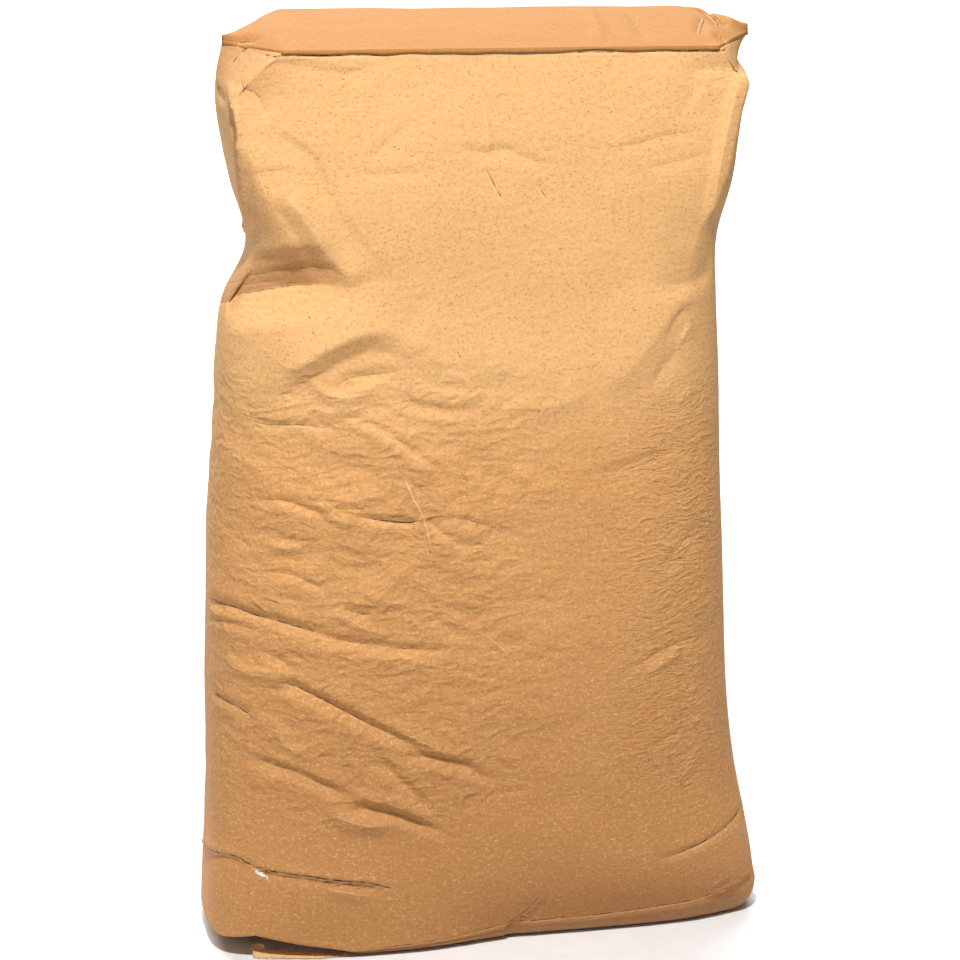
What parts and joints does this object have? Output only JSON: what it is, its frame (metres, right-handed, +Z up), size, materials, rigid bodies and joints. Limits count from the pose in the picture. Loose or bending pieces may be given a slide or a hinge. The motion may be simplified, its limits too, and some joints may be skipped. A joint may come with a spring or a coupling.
{
  "type": "bag of quartz sand",
  "caption": "Filled paper valve sack of fine quartz sand with pasted block ends, standing on its bottom end, slack above the settled fill.",
  "frame": {"origin": "on the floor, under the middle of the sack's bounding box", "axes": "+Z up along the sack's height, +X to the right along the broad front, the broad front faces -Y"},
  "size_m": [0.3467, 0.1481, 0.5599],
  "materials": {
    "kraft_paper": "brown kraft paper, dull, finely fibred, creased and scuffed",
    "cover_paper": "brown kraft paper, dull, close to the sack's own",
    "quartz_sand": "fine dry quartz sand, pale"
  },
  "bodies": {
    "root": {"paper_sack": "kraft_paper", "top_cover_sheet": "cover_paper", "bottom_cover_sheet": "cover_paper", "sand_fill": "quartz_sand"}
  },
  "joints": []
}
